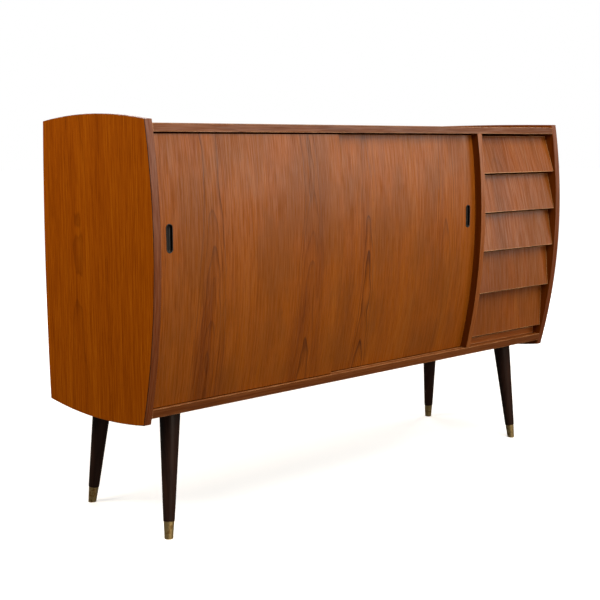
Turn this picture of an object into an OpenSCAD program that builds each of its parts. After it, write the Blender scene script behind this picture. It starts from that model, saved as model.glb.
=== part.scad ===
// Sideboard buffet: bowed end panels, two sliding doors and a bank of five
// louvred drawers, on four splayed legs.
// Millimetres. X runs along the length, -Y is the front, +Z is up.
// The floor is z = 0 and the origin is midway along the width and the depth.

/* [Body] */
// Overall width, outside the two end panels
body_w = 1600; // [1300:10:1950]
// Depth between the top corners of an end panel
body_d = 478; // [390:2:580]
// From the underside of the bottom board to the top of the top board
body_h = 709; // [590:1:860]
// Height of the bottom board's underside above the floor
leg_h = 333; // [270:1:400]

/* [Boards] */
// Thickness of an end panel
panel_t = 22; // [18:0.5:27]
// Thickness of the top board
top_t = 21; // [17:0.5:26]
// Thickness of the bottom board
bottom_t = 24; // [20:0.5:29]
// Thickness of the divider between the doors and the drawers
divider_t = 19; // [15:0.5:24]
// Thickness of the partition inside the cabinet
partition_t = 16; // [13:0.5:20]
// Thickness of a shelf
shelf_t = 16; // [13:0.5:20]
// Thickness of a back panel
back_t = 6; // [4:0.5:8]
// How far the front edges of the boards lie behind the end panels' edges
edge_setback = 1; // [0.5:0.25:3]
// Chamfer along the show edges
ease = 1.2; // [0.5:0.1:2]

/* [End panels] */
// Rise of an end panel's top corners above the top board
end_rise = 9; // [4:0.5:15]
// Drop of the front bottom corner below the bottom board
front_drop = 14; // [8:0.5:20]
// Drop of the rear bottom corner below the bottom board
rear_drop = 28; // [20:0.5:36]
// How far the front bottom corner lies behind the front top corner
toe_in = 30; // [15:1:40]
// How far the rear bottom corner stands behind the rear top corner
heel_out = 8; // [0:1:15]
// Bow of the front edge
front_bow = 42; // [30:1:50]
// Bow of the rear edge
rear_bow = 10; // [6:1:16]
// Bow of the left end panel's top edge
top_bow = 15.5; // [10:0.5:22]
// Bow of the right end panel's top edge
right_top_bow = 2; // [1:0.5:22]
// Bow of the bottom edge
bottom_bow = 16; // [10:0.5:22]
// From the rear top corner forward to the outer face of the back panels
back_inset = 7; // [4:1:14]

/* [Sliding doors] */
// Thickness of a door
door_t = 12; // [9:0.5:14]
// From the boards' bowed edge back to the front door's face
door_setback = 9; // [6:0.5:14]
// Gap between the two doors
door_gap = 4; // [3:0.5:8]
// Width that the closed doors overlap
door_overlap = 20; // [10:1:40]
// Thickness of the tongue along a door's top and bottom edges
tongue_t = 8; // [6:0.5:8.5]
// Clearance of a tongue in its groove, each side
track_clearance = 0.5; // [0.3:0.1:1]
// Depth of the grooves in the bottom board
low_groove = 6; // [4:0.5:9]
// Depth of the grooves in the top board
high_groove = 11; // [8:0.5:13]
// Gap under a door
door_play = 2; // [1:0.5:3]
// Gap over a door
door_top_gap = 4; // [2:0.5:6]
// Gap under a tongue in its groove
tongue_play = 1; // [0.5:0.25:2]
// Gap over a tongue in its groove
tongue_top_gap = 2; // [1:0.5:3]

/* [Finger pulls] */
// Width of a finger pull
pull_w = 19.5; // [16:0.5:26]
// Height of a finger pull
pull_h = 69.5; // [55:0.5:90]
// Depth of a finger pull behind its rim
pull_d = 10; // [7:0.5:11]
// Wall of a finger pull
pull_wall = 1.2; // [0.8:0.1:2]
// Width of the rim around a finger pull
pull_rim = 1; // [0.5:0.1:2]
// From the front door's left edge to the middle of its pull
front_pull_inset = 29.5; // [24:0.5:60]
// From the rear door's right edge to the middle of its pull
rear_pull_inset = 35; // [24:0.5:60]
// Height of the pulls above the top of the bottom board
pull_rise = 416; // [300:1:480]
// Thickness of a pull's rim
pull_rim_t = 1.6; // [1.2:0.1:2.5]
// How far a pull's rim stands proud of the door
pull_proud = 0.6; // [0.2:0.1:1]

/* [Drawers] */
// Width of the drawer bay
bay_w = 365; // [300:5:440]
// Horizontal thickness of a drawer front
front_t = 18; // [15:0.5:20]
// Set-back of a front's upper edge behind the boards' bowed edge
louvre_back = 32; // [30:0.5:40]
// Set-back of a front's lower edge behind the boards' bowed edge
louvre_lip = 7; // [3:0.5:8]
// Gap beside a drawer front
front_side_gap = 1.5; // [1:0.25:3]
// Gap between a front's lower edge and the front below it
front_gap = 5; // [4:0.5:8]
// Gap above the top drawer's front
top_front_gap = 6; // [4:0.5:10]
// Gap under the lowest drawer's front
rail_gap = 10; // [5:0.5:14]
// Height of the rail under the lowest drawer
rail_h = 20; // [14:1:26]
// Thickness of the rail
rail_t = 16; // [12:1:20]
// How far the rail stands in front of the fronts' upper edges
rail_step = 3; // [0:1:6]
// Height of the fourth drawer, against the upper three
fourth_ratio = 1.11; // [1:0.01:1.3]
// Height of the fifth drawer, against the upper three
fifth_ratio = 1.18; // [1:0.01:1.4]
// Thickness of a drawer's sides and back
side_t = 12; // [10:0.5:15]
// Gap between a drawer's sides and the walls of the bay
side_gap = 6; // [4:0.5:9]
// From a front's lower edge up to the box behind it
box_rise = 9; // [6:1:14]
// From the box up to its front's upper edge
box_drop = 12; // [8:1:20]
// Thickness of a drawer's bottom
drawer_bottom_t = 5; // [3:0.5:6]
// From the lower edge of the box up to its bottom
tray_rise = 7; // [5:0.5:10]
// How deep a drawer's bottom is let into its sides
tray_lip = 4; // [2:0.5:6]
// Clearance behind a closed drawer
drawer_rear_gap = 20; // [10:1:40]

/* [Runners] */
// Height of a runner
runner_h = 12; // [8:0.5:16]
// How far a runner reaches into the groove of a drawer's side
runner_reach = 5.5; // [4:0.5:7]
// Clearance between a runner and its groove
runner_clearance = 0.5; // [0.3:0.1:1]
// How deep a runner is let into the wall of the bay
runner_housing = 4; // [2:0.5:6]
// From the back of a drawer's front to the runner behind it
runner_start = 12; // [6:1:30]

/* [Shelves] */
// Height of the shelves above the bottom board
shelf_rise = 316; // [200:1:400]
// Gap at each end of a shelf
shelf_gap = 1; // [0.5:0.25:2]
// From the back of the rear door to the shelves and the partition
shelf_setback = 10; // [8:1:40]
// Gap behind a shelf
shelf_rear_gap = 4; // [1:1:20]
// From a shelf's front or rear edge to the middle of its pins
pin_inset = 45; // [30:5:80]
// Diameter of a shelf pin
pin_d = 6; // [4:0.5:8]
// Length of a shelf pin outside its hole
pin_out = 10; // [6:0.5:12]
// Length of a shelf pin in its hole
pin_in = 6; // [4:0.5:7]

/* [Legs] */
// Diameter of a leg at its top
leg_top_d = 55; // [42:1:66]
// Diameter of a leg where it meets its ferrule
leg_low_d = 29.5; // [24:0.5:36]
// Diameter of a ferrule at its upper rim
ferrule_top_d = 27.5; // [22:0.5:34]
// Diameter of a ferrule at the floor
ferrule_low_d = 22; // [17:0.5:27]
// Length of a ferrule
ferrule_l = 45; // [35:1:55]
// Wall of a ferrule
ferrule_wall = 1.2; // [0.8:0.1:2]
// From the end of the body to the middle of a leg's top
leg_inset_x = 126; // [90:1:180]
// From the bottom board's front edge to the middle of a front leg's top
leg_inset_front = 75; // [50:1:110]
// From the back panels to the middle of a rear leg's top
leg_inset_rear = 49; // [40:1:90]
// Sideways splay of a leg over its height
splay_x = 31; // [15:1:45]
// Splay of a leg to the front or the rear over its height
splay_y = 30; // [15:1:45]
// Diameter of a leg's bolt
bolt_d = 8; // [6:0.5:10]
// Length of the bolt inside the leg
bolt_in_leg = 45; // [30:1:60]
// Length of the bolt inside the bottom board
bolt_in_board = 15; // [12:1:17]
// Outside diameter of the threaded insert
insert_d = 13; // [11:0.5:16]

/* [Fixings] */
// Diameter of a dowel
dowel_d = 8; // [6:0.5:10]
// Length of a dowel
dowel_l = 28; // [22:1:34]
// Length of a dowel that lies in the piece with the face
dowel_in_face = 11; // [8:0.5:12]
// Clearance round a pin, bolt or dowel
fit_clearance = 0.05; // [0.02:0.01:0.1]
// Diameter of a back screw's head
screw_head_d = 7; // [6:0.5:9]
// Diameter of a back screw's shank
screw_d = 3.5; // [3:0.25:4]
// Length of a back screw
screw_l = 22; // [16:1:30]
// Thickness of a screw's head
screw_head_t = 2; // [1.5:0.25:3]
// Distance of the back screws from each other
screw_pitch = 190; // [120:10:260]
// From the end of a bay to its first back screw
screw_edge = 30; // [20:1:50]

/* [Hidden] */

teak = "#9a5a2c";
teak_dark = "#7c4420";
lining = "#c79a63";
leg_wood = "#2a1a12";
brass = "#a98a4c";
steel = "#9a9a9c";
pull_black = "#161514";

big = 4000;         // longer than any piece
cut = 1;            // how far a cutting shape goes on past the surface that it cuts
lap = 1;            // how far two shapes of one piece run into each other
tray_clearance = 0.1;
groove_lead = 2;    // how far a side's groove goes on in front of its runner
arc_fn = 720;       // steps shown on a bowed edge
round_fn = 64;      // steps shown on a small round piece

// Heights
board_z = leg_h;
floor_z = board_z + bottom_t;
top_z = board_z + body_h;
ceiling_z = top_z - top_t;

// A bowed side runs from p to q with the body on its left, in (y, z).
function side_radius(p, q, bow) = (pow(norm(q - p) / 2, 2) + bow * bow) / (2 * bow);
function outward(p, q) = [q[1] - p[1], p[0] - q[0]] / norm(q - p);
function side_centre(p, q, bow) =
    (p + q) / 2 - outward(p, q) * (side_radius(p, q, bow) - bow);

// The front edge with its top corner at y = 0, to find the middle of the depth
front_r = side_radius([0, top_z + end_rise], [toe_in, board_z - front_drop], front_bow);
front_c = side_centre([0, top_z + end_rise], [toe_in, board_z - front_drop], front_bow);
rear_r = side_radius([body_d + heel_out, board_z - rear_drop], [body_d, top_z + end_rise],
    rear_bow);
rear_c = side_centre([body_d + heel_out, board_z - rear_drop], [body_d, top_z + end_rise],
    rear_bow);
front_y = -(front_c[0] - front_r + rear_c[0] + rear_r) / 2;

// Corners of an end panel
front_top = [front_y, top_z + end_rise];
front_low = [front_y + toe_in, board_z - front_drop];
rear_top = [front_y + body_d, top_z + end_rise];
rear_low = [front_y + body_d + heel_out, board_z - rear_drop];

// The y of the bowed front edge at a height, and of a surface set back from it
function bow_y(z, setback = 0) =
    front_y + front_c[0] + setback - sqrt(front_r * front_r - pow(z - front_c[1], 2));

// Depth positions
back_y = rear_top[0] - back_inset - back_t;
rear_setback = door_setback + door_t + door_gap;
inner_setback = rear_setback + door_t + shelf_setback;

// Width positions
inner_x = body_w / 2 - panel_t;
bay_x = inner_x - bay_w;
cabinet_x = bay_x - divider_t;
cabinet_w = cabinet_x + inner_x;
partition_x = (cabinet_x - inner_x) / 2;

// Doors
door_w = (cabinet_w + door_overlap) / 2;
door_low = floor_z + door_play;
door_high = ceiling_z - door_top_gap;
pull_z = floor_z + pull_rise;
groove_w = tongue_t + 2 * track_clearance;
tongue_low = floor_z - low_groove + tongue_play;
tongue_high = ceiling_z + high_groove - tongue_top_gap;

// Drawers: lower and upper edge of each front, counted from the top
ratios = [1, 1, 1, fourth_ratio, fifth_ratio];
function ratio_sum(n) = n < 0 ? 0 : ratios[n] + ratio_sum(n - 1);
stack_top = ceiling_z - top_front_gap + front_gap;
stack_h = stack_top - floor_z - rail_h - rail_gap;
function front_low_z(i) = stack_top - stack_h * ratio_sum(i) / ratio_sum(4);
function front_top_z(i) = front_low_z(i - 1) - front_gap;
function louvre_y(i, z) = let (
        y0 = bow_y(front_low_z(i), louvre_lip),
        y1 = bow_y(front_top_z(i), louvre_back))
    y0 + (y1 - y0) * (z - front_low_z(i)) / (front_top_z(i) - front_low_z(i));
function box_low_z(i) = front_low_z(i) + box_rise;
function box_top_z(i) = front_top_z(i) - box_drop;
function tray_z(i) = box_low_z(i) + tray_rise;
function runner_z(i) = (box_low_z(i) + box_top_z(i)) / 2;
box_rear_y = back_y - drawer_rear_gap;
box_x0 = bay_x + side_gap;
box_x1 = inner_x - side_gap;
groove_d = runner_reach + runner_clearance;
function runner_y(i) = louvre_y(i, runner_z(i) + runner_h / 2) + front_t + runner_start;

// Legs
leg_x = body_w / 2 - leg_inset_x;
leg_front_y = bow_y(board_z) + leg_inset_front;
leg_rear_y = back_y - leg_inset_rear;
leg_tilt = atan(norm([splay_x, splay_y]) / leg_h);
leg_len = norm([splay_x, splay_y, leg_h]);

// Profiles in (y, z) are drawn flat and run along X from x0 to x1.
module along_x(x0, x1)
    translate([x0, 0, 0]) rotate([90, 0, 90]) linear_extrude(x1 - x0) children();

// A disc as thick as an end panel, with both rims chamfered
module chamfered_disc(centre, r)
    translate([0, centre[0], centre[1]]) rotate([0, 90, 0]) rotate_extrude($fn = arc_fn)
        polygon([[0, 0], [r - ease, 0], [r, ease], [r, panel_t - ease],
            [r - ease, panel_t], [0, panel_t]]);

module bowed_disc(p, q, bow) chamfered_disc(side_centre(p, q, bow), side_radius(p, q, bow));

module end_blank(x0, crown) translate([x0, 0, 0]) intersection() {
    bowed_disc(front_low, rear_low, bottom_bow);
    bowed_disc(rear_low, rear_top, rear_bow);
    bowed_disc(rear_top, front_top, crown);
    bowed_disc(front_top, front_low, front_bow);
}

// Everything behind the bowed front edge, set back by a distance
module behind_bow(setback, fn = arc_fn)
    translate([front_y + front_c[0] + setback, front_c[1]]) circle(r = front_r, $fn = fn);

// A flat profile between two heights, from the bow to a straight rear edge
module bow_profile(z0, z1, setback, rear) intersection() {
    behind_bow(setback);
    translate([bow_y(front_c[1], setback) - cut, z0])
        square([rear - bow_y(front_c[1], setback) + cut, z1 - z0]);
}

// A small chamfer cut at a corner of a flat profile
module nick(y, z) translate([y, z]) rotate(45) square(ease * sqrt(2), center = true);

// Dowels that join the boards to the end panels, the divider and the partition,
// at these shares of the depth
dowel_rows = [0.16, 0.39, 0.62, 0.85];
function dowel_y(share) = bow_y(board_z) + share * (back_y - bow_y(board_z));
dowel_z = [board_z + bottom_t / 2, ceiling_z + top_t / 2];

module bar(d, l, clearance) cylinder(d = d + 2 * clearance, h = l, $fn = round_fn);

module end_dowels(side, clearance) for (z = dowel_z, share = dowel_rows)
    translate([side * inner_x, dowel_y(share), z]) rotate([0, -90 * side, 0])
        translate([0, 0, -dowel_in_face - clearance])
            bar(dowel_d, dowel_l + 2 * clearance, clearance);

module upright_dowels(x, clearance) for (share = [dowel_rows[1], dowel_rows[3]]) {
    translate([x, dowel_y(share), floor_z - dowel_in_face - clearance])
        bar(dowel_d, dowel_l + 2 * clearance, clearance);
    translate([x, dowel_y(share), ceiling_z + dowel_in_face + clearance - dowel_l
            - 2 * clearance])
        bar(dowel_d, dowel_l + 2 * clearance, clearance);
}

module dowels(clearance) {
    end_dowels(-1, clearance);
    end_dowels(1, clearance);
    upright_dowels(cabinet_x + divider_t / 2, clearance);
    upright_dowels(partition_x, clearance);
}

// Back screws run forward into the rear edges of the two boards.
function screw_row(x0, x1) = let (n = max(1, round((x1 - x0) / screw_pitch)))
    [for (i = [0 : n]) x0 + (x1 - x0) * i / n];
screw_xs = concat(screw_row(-inner_x + screw_edge, cabinet_x - screw_edge),
    screw_row(bay_x + screw_edge, inner_x - screw_edge));

module screws(clearance) for (x = screw_xs, z = dowel_z)
    translate([x, back_y + back_t, z]) rotate([90, 0, 0]) {
        bar(screw_head_d, screw_head_t, clearance);
        bar(screw_d, screw_l, clearance);
    }

// Shelves and their pins
shelf_z = floor_z + shelf_rise;
shelf_front = bow_y(shelf_z, inner_setback);
shelf_rear = back_y - shelf_rear_gap;
pin_ys = [shelf_front + pin_inset, shelf_rear - pin_inset];
function bay_edges(side) = side < 0
    ? [-inner_x, partition_x - partition_t / 2]
    : [partition_x + partition_t / 2, cabinet_x];

module pins(clearance) for (side = [-1, 1], y = pin_ys) {
    translate([bay_edges(side)[0] - pin_in, y, shelf_z - pin_d / 2]) rotate([0, 90, 0])
        bar(pin_d, pin_in + pin_out, clearance);
    translate([bay_edges(side)[1] + pin_in, y, shelf_z - pin_d / 2]) rotate([0, -90, 0])
        bar(pin_d, pin_in + pin_out, clearance);
}

// Runners let into the left (-1) or the right (1) wall of the drawer bay
module runners(side) for (i = [0 : len(ratios) - 1]) {
    reach = side_gap + runner_reach;
    x0 = side < 0 ? bay_x - runner_housing : inner_x - reach;
    translate([x0, runner_y(i), runner_z(i) - runner_h / 2])
        cube([runner_housing + reach, back_y - runner_y(i), runner_h]);
}

// Legs: the local z axis runs up the leg from the middle of its foot, and the
// quarter turn keeps the seams of leaning bores away from their highest points.
module on_leg(sx, rear) {
    top = [sx * leg_x, rear ? leg_rear_y : leg_front_y];
    foot = top + [sx * splay_x, (rear ? 1 : -1) * splay_y];
    heading = atan2(top[1] - foot[1], top[0] - foot[0]);
    translate([foot[0], foot[1], 0]) rotate([0, leg_tilt, heading]) rotate(90) children();
}

module floor_to(z) translate([-big / 2, -big / 2, 0]) cube([big, big, z]);

// A leg goes on past the board and the floor, whose planes then cut it level.
over = 20;
leg_taper = (leg_top_d - leg_low_d) / (leg_len - ferrule_l);
leg_over_r = (leg_top_d + over * leg_taper) / 2;
ferrule_taper = (ferrule_top_d - ferrule_low_d) / ferrule_l;
spigot_low = 4;             // thickness of the ferrule's floor

// Radii at a distance along the axis: of the ferrule, and of the leg's end in it
function cup_r(z) = (ferrule_low_d + z * ferrule_taper) / 2;
function spigot_r(z) = cup_r(z) - ferrule_wall - fit_clearance;

// The bolt's bore, and the insert, which starts clear of the board's underside
bore_r = bolt_d / 2 + fit_clearance;
bore_z = leg_len - bolt_in_leg - fit_clearance;
insert_sink = 1;
insert_z = leg_len + insert_sink;
insert_end = leg_len + bolt_in_board + insert_sink;

module turned() rotate_extrude($fn = round_fn) children();

module leg(sx, rear) color(leg_wood) intersection() {
    floor_to(leg_h);
    on_leg(sx, rear) turned()
        polygon([[0, spigot_low], [spigot_r(spigot_low), spigot_low],
            [spigot_r(ferrule_l), ferrule_l], [leg_low_d / 2, ferrule_l],
            [leg_over_r, leg_len + over], [bore_r, leg_len + over],
            [bore_r, bore_z], [0, bore_z]]);
}

module ferrule(sx, rear) color(brass) intersection() {
    floor_to(leg_h);
    on_leg(sx, rear) turned()
        polygon([[0, -over], [cup_r(-over), -over], [cup_r(ferrule_l), ferrule_l],
            [cup_r(ferrule_l) - ferrule_wall, ferrule_l],
            [cup_r(spigot_low) - ferrule_wall, spigot_low], [0, spigot_low]]);
}

module leg_bolt(sx, rear, clearance) on_leg(sx, rear)
    translate([0, 0, leg_len - bolt_in_leg - clearance])
        bar(bolt_d, bolt_in_leg + bolt_in_board + clearance, clearance);

module insert_hole(sx, rear) on_leg(sx, rear)
    translate([0, 0, leg_len - over])
        bar(insert_d, insert_end - leg_len + over + fit_clearance, fit_clearance);

module each_leg() for (sx = [-1, 1], rear = [false, true]) {
    $sx = sx;
    $rear = rear;
    children();
}

// The back panels lie in rebates in the end panels.
rebate_w = panel_t / 3;
module back_rebate(x0) translate([x0, back_y, board_z]) cube([rebate_w, big, body_h]);

// Sub-parts of the carcass
module left_end_panel() color(teak) difference() {
    end_blank(-body_w / 2, top_bow);
    back_rebate(-inner_x - rebate_w);
    dowels(fit_clearance);
    pins(fit_clearance);
}

module right_end_panel() color(teak) difference() {
    end_blank(inner_x, right_top_bow);
    back_rebate(inner_x);
    dowels(fit_clearance);
    runners(1);
}

// The grooves run the length of the cabinet, under the doors' tongues.
module groove(setback, door_z, z0, z1)
    along_x(-inner_x - cut, cabinet_x)
        translate([bow_y(door_z, setback) + (door_t - groove_w) / 2, z0])
            square([groove_w, z1 - z0]);

module top_board() color(teak_dark) difference() {
    along_x(-inner_x, inner_x) difference() {
        bow_profile(ceiling_z, top_z, edge_setback, back_y);
        nick(bow_y(ceiling_z, edge_setback), ceiling_z);
        nick(bow_y(top_z, edge_setback), top_z);
    }
    for (s = [door_setback, rear_setback])
        groove(s, door_high, ceiling_z - cut, ceiling_z + high_groove);
    dowels(fit_clearance);
    screws(fit_clearance);
}

module bottom_board() color(teak_dark) difference() {
    along_x(-inner_x, inner_x) difference() {
        bow_profile(board_z, floor_z, edge_setback, back_y);
        nick(bow_y(board_z, edge_setback), board_z);
        nick(bow_y(floor_z, edge_setback), floor_z);
    }
    for (s = [door_setback, rear_setback])
        groove(s, door_low, floor_z - low_groove, floor_z + cut);
    dowels(fit_clearance);
    screws(fit_clearance);
    each_leg() insert_hole($sx, $rear);
}

module divider() color(teak_dark) difference() {
    along_x(cabinet_x, bay_x) bow_profile(floor_z, ceiling_z, edge_setback, back_y);
    dowels(fit_clearance);
    runners(-1);
    pins(fit_clearance);
}

module partition() color(lining) difference() {
    along_x(partition_x - partition_t / 2, partition_x + partition_t / 2)
        bow_profile(floor_z, ceiling_z, inner_setback, back_y);
    dowels(fit_clearance);
    pins(fit_clearance);
}

back_joint = cabinet_x + divider_t / 2;

module back_sheet(x0, x1) color(lining) difference() {
    translate([x0, back_y, board_z]) cube([x1 - x0, back_t, body_h]);
    screws(fit_clearance);
}

module cabinet_back() back_sheet(-inner_x - rebate_w, back_joint);

module drawer_bay_back() back_sheet(back_joint, inner_x + rebate_w);

module drawer_rail() color(teak) along_x(bay_x, inner_x)
    translate([bow_y(floor_z, louvre_back - rail_step), floor_z]) square([rail_t, rail_h]);

module shelf(side) color(lining)
    translate([bay_edges(side)[0] + shelf_gap, shelf_front, shelf_z])
        cube([bay_edges(side)[1] - bay_edges(side)[0] - 2 * shelf_gap,
            shelf_rear - shelf_front, shelf_t]);

module shelf_pins() color(brass) pins(0);

module runner_set(side) color(lining) runners(side);

module leg_bolts() color(steel) each_leg() leg_bolt($sx, $rear, 0);

module leg_inserts() color(steel) each_leg() on_leg($sx, $rear) turned()
    polygon([[bore_r, insert_z], [insert_d / 2, insert_z],
        [insert_d / 2, insert_end], [bore_r, insert_end]]);

module carcass_dowels() color(lining) dowels(0);

module back_screws() color(brass) screws(0);

// Doors: a bent sheet that follows the bow, with a tongue above and below
module tongue(setback, door_z, z0, z1)
    translate([bow_y(door_z, setback) + (door_t - tongue_t) / 2, z0])
        square([tongue_t, z1 - z0]);

module door(x0, setback, pull_x) color(teak) difference() {
    along_x(x0, x0 + door_w) {
        difference() {
            bow_profile(door_low, door_high, setback, back_y);
            behind_bow(setback + door_t);
        }
        tongue(setback, door_low, tongue_low, door_low + lap);
        tongue(setback, door_high, door_high - lap, tongue_high);
    }
    pull_shape(pull_x, setback, fit_clearance);
}

// A slot with round ends, standing on its end
module stadium(w, h) {
    for (s = [-1, 1]) translate([0, s * (h - w) / 2]) circle(d = w, $fn = round_fn);
    square([w, h - w], center = true);
}

module facing_front(x, y) translate([x, y, pull_z]) rotate([90, 0, 0]) children();

// The pull's outside: a rim just proud of the door, and the cup behind it
module pull_shape(x, setback, clearance) {
    y = bow_y(pull_z, setback) - pull_proud;
    facing_front(x, y + pull_rim_t + clearance) linear_extrude(pull_rim_t + clearance)
        stadium(pull_w + 2 * clearance, pull_h + 2 * clearance);
    facing_front(x, y + pull_d + clearance) linear_extrude(pull_d)
        stadium(pull_w - 2 * pull_rim + 2 * clearance,
            pull_h - 2 * pull_rim + 2 * clearance);
}

module pull(x, setback) color(pull_black) difference() {
    pull_shape(x, setback, 0);
    facing_front(x, bow_y(pull_z, setback) - pull_proud + pull_d - pull_wall)
        linear_extrude(pull_d)
            stadium(pull_w - 2 * pull_rim - 2 * pull_wall,
                pull_h - 2 * pull_rim - 2 * pull_wall);
}

front_door_x = -inner_x;
rear_door_x = cabinet_x - door_w;
front_pull_x = front_door_x + front_pull_inset;
rear_pull_x = cabinet_x - rear_pull_inset;

module front_door() door(front_door_x, door_setback, front_pull_x);

module front_door_pull() pull(front_pull_x, door_setback);

module rear_door() door(rear_door_x, rear_setback, rear_pull_x);

module rear_door_pull() pull(rear_pull_x, rear_setback);

// Drawers
module drawer_front(i) color(teak)
    along_x(bay_x + front_side_gap, inner_x - front_side_gap) difference() {
        polygon([[louvre_y(i, front_low_z(i)), front_low_z(i)],
            [louvre_y(i, front_low_z(i)) + front_t, front_low_z(i)],
            [louvre_y(i, front_top_z(i)) + front_t, front_top_z(i)],
            [louvre_y(i, front_top_z(i)), front_top_z(i)]]);
        nick(louvre_y(i, front_low_z(i)), front_low_z(i));
        nick(louvre_y(i, front_top_z(i)), front_top_z(i));
    }

module side_profile(i) polygon([
    [louvre_y(i, box_low_z(i)) + front_t, box_low_z(i)],
    [box_rear_y, box_low_z(i)],
    [box_rear_y, box_top_z(i)],
    [louvre_y(i, box_top_z(i)) + front_t, box_top_z(i)]]);

module tray_slot(i, clearance) {
    y0 = louvre_y(i, tray_z(i) + drawer_bottom_t) + front_t + cut;
    translate([box_x0 + side_t - tray_lip - clearance, y0 - clearance, tray_z(i) - clearance])
        cube([box_x1 - box_x0 - 2 * side_t + 2 * tray_lip + 2 * clearance,
            box_rear_y - y0 + 2 * clearance, drawer_bottom_t + 2 * clearance]);
}

module drawer_side(i, side) color(lining) difference() {
    x0 = side < 0 ? box_x0 : box_x1 - side_t;
    along_x(x0, x0 + side_t) side_profile(i);
    groove_x = side < 0 ? box_x0 - cut : box_x1 - groove_d;
    translate([groove_x, runner_y(i) - groove_lead,
            runner_z(i) - runner_h / 2 - runner_clearance])
        cube([groove_d + cut, big, runner_h + 2 * runner_clearance]);
    tray_slot(i, tray_clearance);
}

module drawer_back(i) color(lining)
    translate([box_x0 + side_t, box_rear_y - side_t,
            tray_z(i) + drawer_bottom_t + tray_clearance])
        cube([box_x1 - box_x0 - 2 * side_t, side_t,
            box_top_z(i) - tray_z(i) - drawer_bottom_t - tray_clearance]);

module drawer_bottom(i) color(lining) tray_slot(i, 0);

left_end_panel();
right_end_panel();
top_board();
bottom_board();
divider();
partition();
cabinet_back();
drawer_bay_back();
drawer_rail();
shelf(-1);  // left_shelf
shelf(1);  // right_shelf
shelf_pins();
runner_set(-1);  // left_runners
runner_set(1);  // right_runners
leg(-1, false);  // front_left_leg
leg(1, false);  // front_right_leg
leg(-1, true);  // rear_left_leg
leg(1, true);  // rear_right_leg
ferrule(-1, false);  // front_left_ferrule
ferrule(1, false);  // front_right_ferrule
ferrule(-1, true);  // rear_left_ferrule
ferrule(1, true);  // rear_right_ferrule
leg_bolts();
leg_inserts();
carcass_dowels();
back_screws();
front_door();
front_door_pull();
rear_door();
rear_door_pull();
for (i = [0 : len(ratios) - 1]) {
    drawer_front(i);
    drawer_side(i, -1);
    drawer_side(i, 1);
    drawer_back(i);
    drawer_bottom(i);
}
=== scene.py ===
import math
import random
import bmesh
import bpy
from mathutils import Matrix, Vector


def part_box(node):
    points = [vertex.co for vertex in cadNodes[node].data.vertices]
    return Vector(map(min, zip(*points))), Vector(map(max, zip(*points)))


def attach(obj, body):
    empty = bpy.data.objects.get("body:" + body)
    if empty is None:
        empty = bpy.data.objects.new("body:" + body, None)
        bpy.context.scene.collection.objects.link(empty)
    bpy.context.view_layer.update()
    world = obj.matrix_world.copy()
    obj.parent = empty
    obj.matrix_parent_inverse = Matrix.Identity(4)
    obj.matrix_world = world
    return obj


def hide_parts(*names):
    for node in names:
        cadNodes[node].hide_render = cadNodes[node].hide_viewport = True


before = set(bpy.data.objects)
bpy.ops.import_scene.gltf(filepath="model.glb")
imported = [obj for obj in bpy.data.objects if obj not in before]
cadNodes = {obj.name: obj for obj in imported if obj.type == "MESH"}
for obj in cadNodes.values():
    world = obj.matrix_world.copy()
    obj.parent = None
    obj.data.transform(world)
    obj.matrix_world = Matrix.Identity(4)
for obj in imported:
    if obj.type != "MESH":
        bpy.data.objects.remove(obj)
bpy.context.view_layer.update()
print("frame loaded:", len(cadNodes), "nodes")


# small helpers for node trees

def srgb(code, alpha=1.0):
    # "#rrggbb" as the linear colour that shader sockets want
    parts = [int(code[i:i + 2], 16) / 255 for i in (1, 3, 5)]
    linear = [p / 12.92 if p <= 0.04045 else ((p + 0.055) / 1.055) ** 2.4 for p in parts]
    return (*linear, alpha)


def grey(level):
    return (level, level, level, 1.0)


def addNode(tree, kind, **settings):
    node = tree.nodes.new(kind)
    for name, value in settings.items():
        setattr(node, name, value)
    return node


def plug(tree, value, socket):
    # a socket is linked, anything else is set
    if isinstance(value, bpy.types.NodeSocket):
        tree.links.new(value, socket)
    else:
        socket.default_value = value


def feed(tree, node, **values):
    # sockets go by their names with the spaces left out
    for name, value in values.items():
        socket = next(s for s in node.inputs if s.name.replace(" ", "") == name and s.enabled)
        plug(tree, value, socket)
    return node


def calc(tree, operation, *values, clamp=False):
    node = addNode(tree, "ShaderNodeMath", operation=operation, use_clamp=clamp)
    for socket, value in zip(node.inputs, values):
        plug(tree, value, socket)
    return node.outputs[0]


def offMiddle(tree, value, strength):
    # a noise that runs from 0 to 1 turned into a swing about 0
    return calc(tree, "MULTIPLY", calc(tree, "SUBTRACT", value, 0.5), strength)


def joined(tree, x, y, z):
    return feed(tree, addNode(tree, "ShaderNodeCombineXYZ"), X=x, Y=y, Z=z).outputs[0]


def split(tree, vector):
    node = addNode(tree, "ShaderNodeSeparateXYZ")
    tree.links.new(vector, node.inputs[0])
    return node.outputs


def noise(tree, vector, scale=1.0, detail=2.0, roughness=0.5, distortion=0.0):
    node = addNode(tree, "ShaderNodeTexNoise", noise_dimensions="3D")
    feed(tree, node, Vector=vector, Scale=scale, Detail=detail, Roughness=roughness,
         Distortion=distortion)
    return node.outputs["Fac"]


def lineNoise(tree, w, scale, detail, roughness):
    node = addNode(tree, "ShaderNodeTexNoise", noise_dimensions="1D")
    feed(tree, node, W=w, Scale=scale, Detail=detail, Roughness=roughness)
    return node.outputs["Fac"]


def chanceOf(tree, w):
    # one random value for each value of w
    node = addNode(tree, "ShaderNodeTexWhiteNoise", noise_dimensions="1D")
    tree.links.new(w, node.inputs["W"])
    return node.outputs["Value"]


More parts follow.
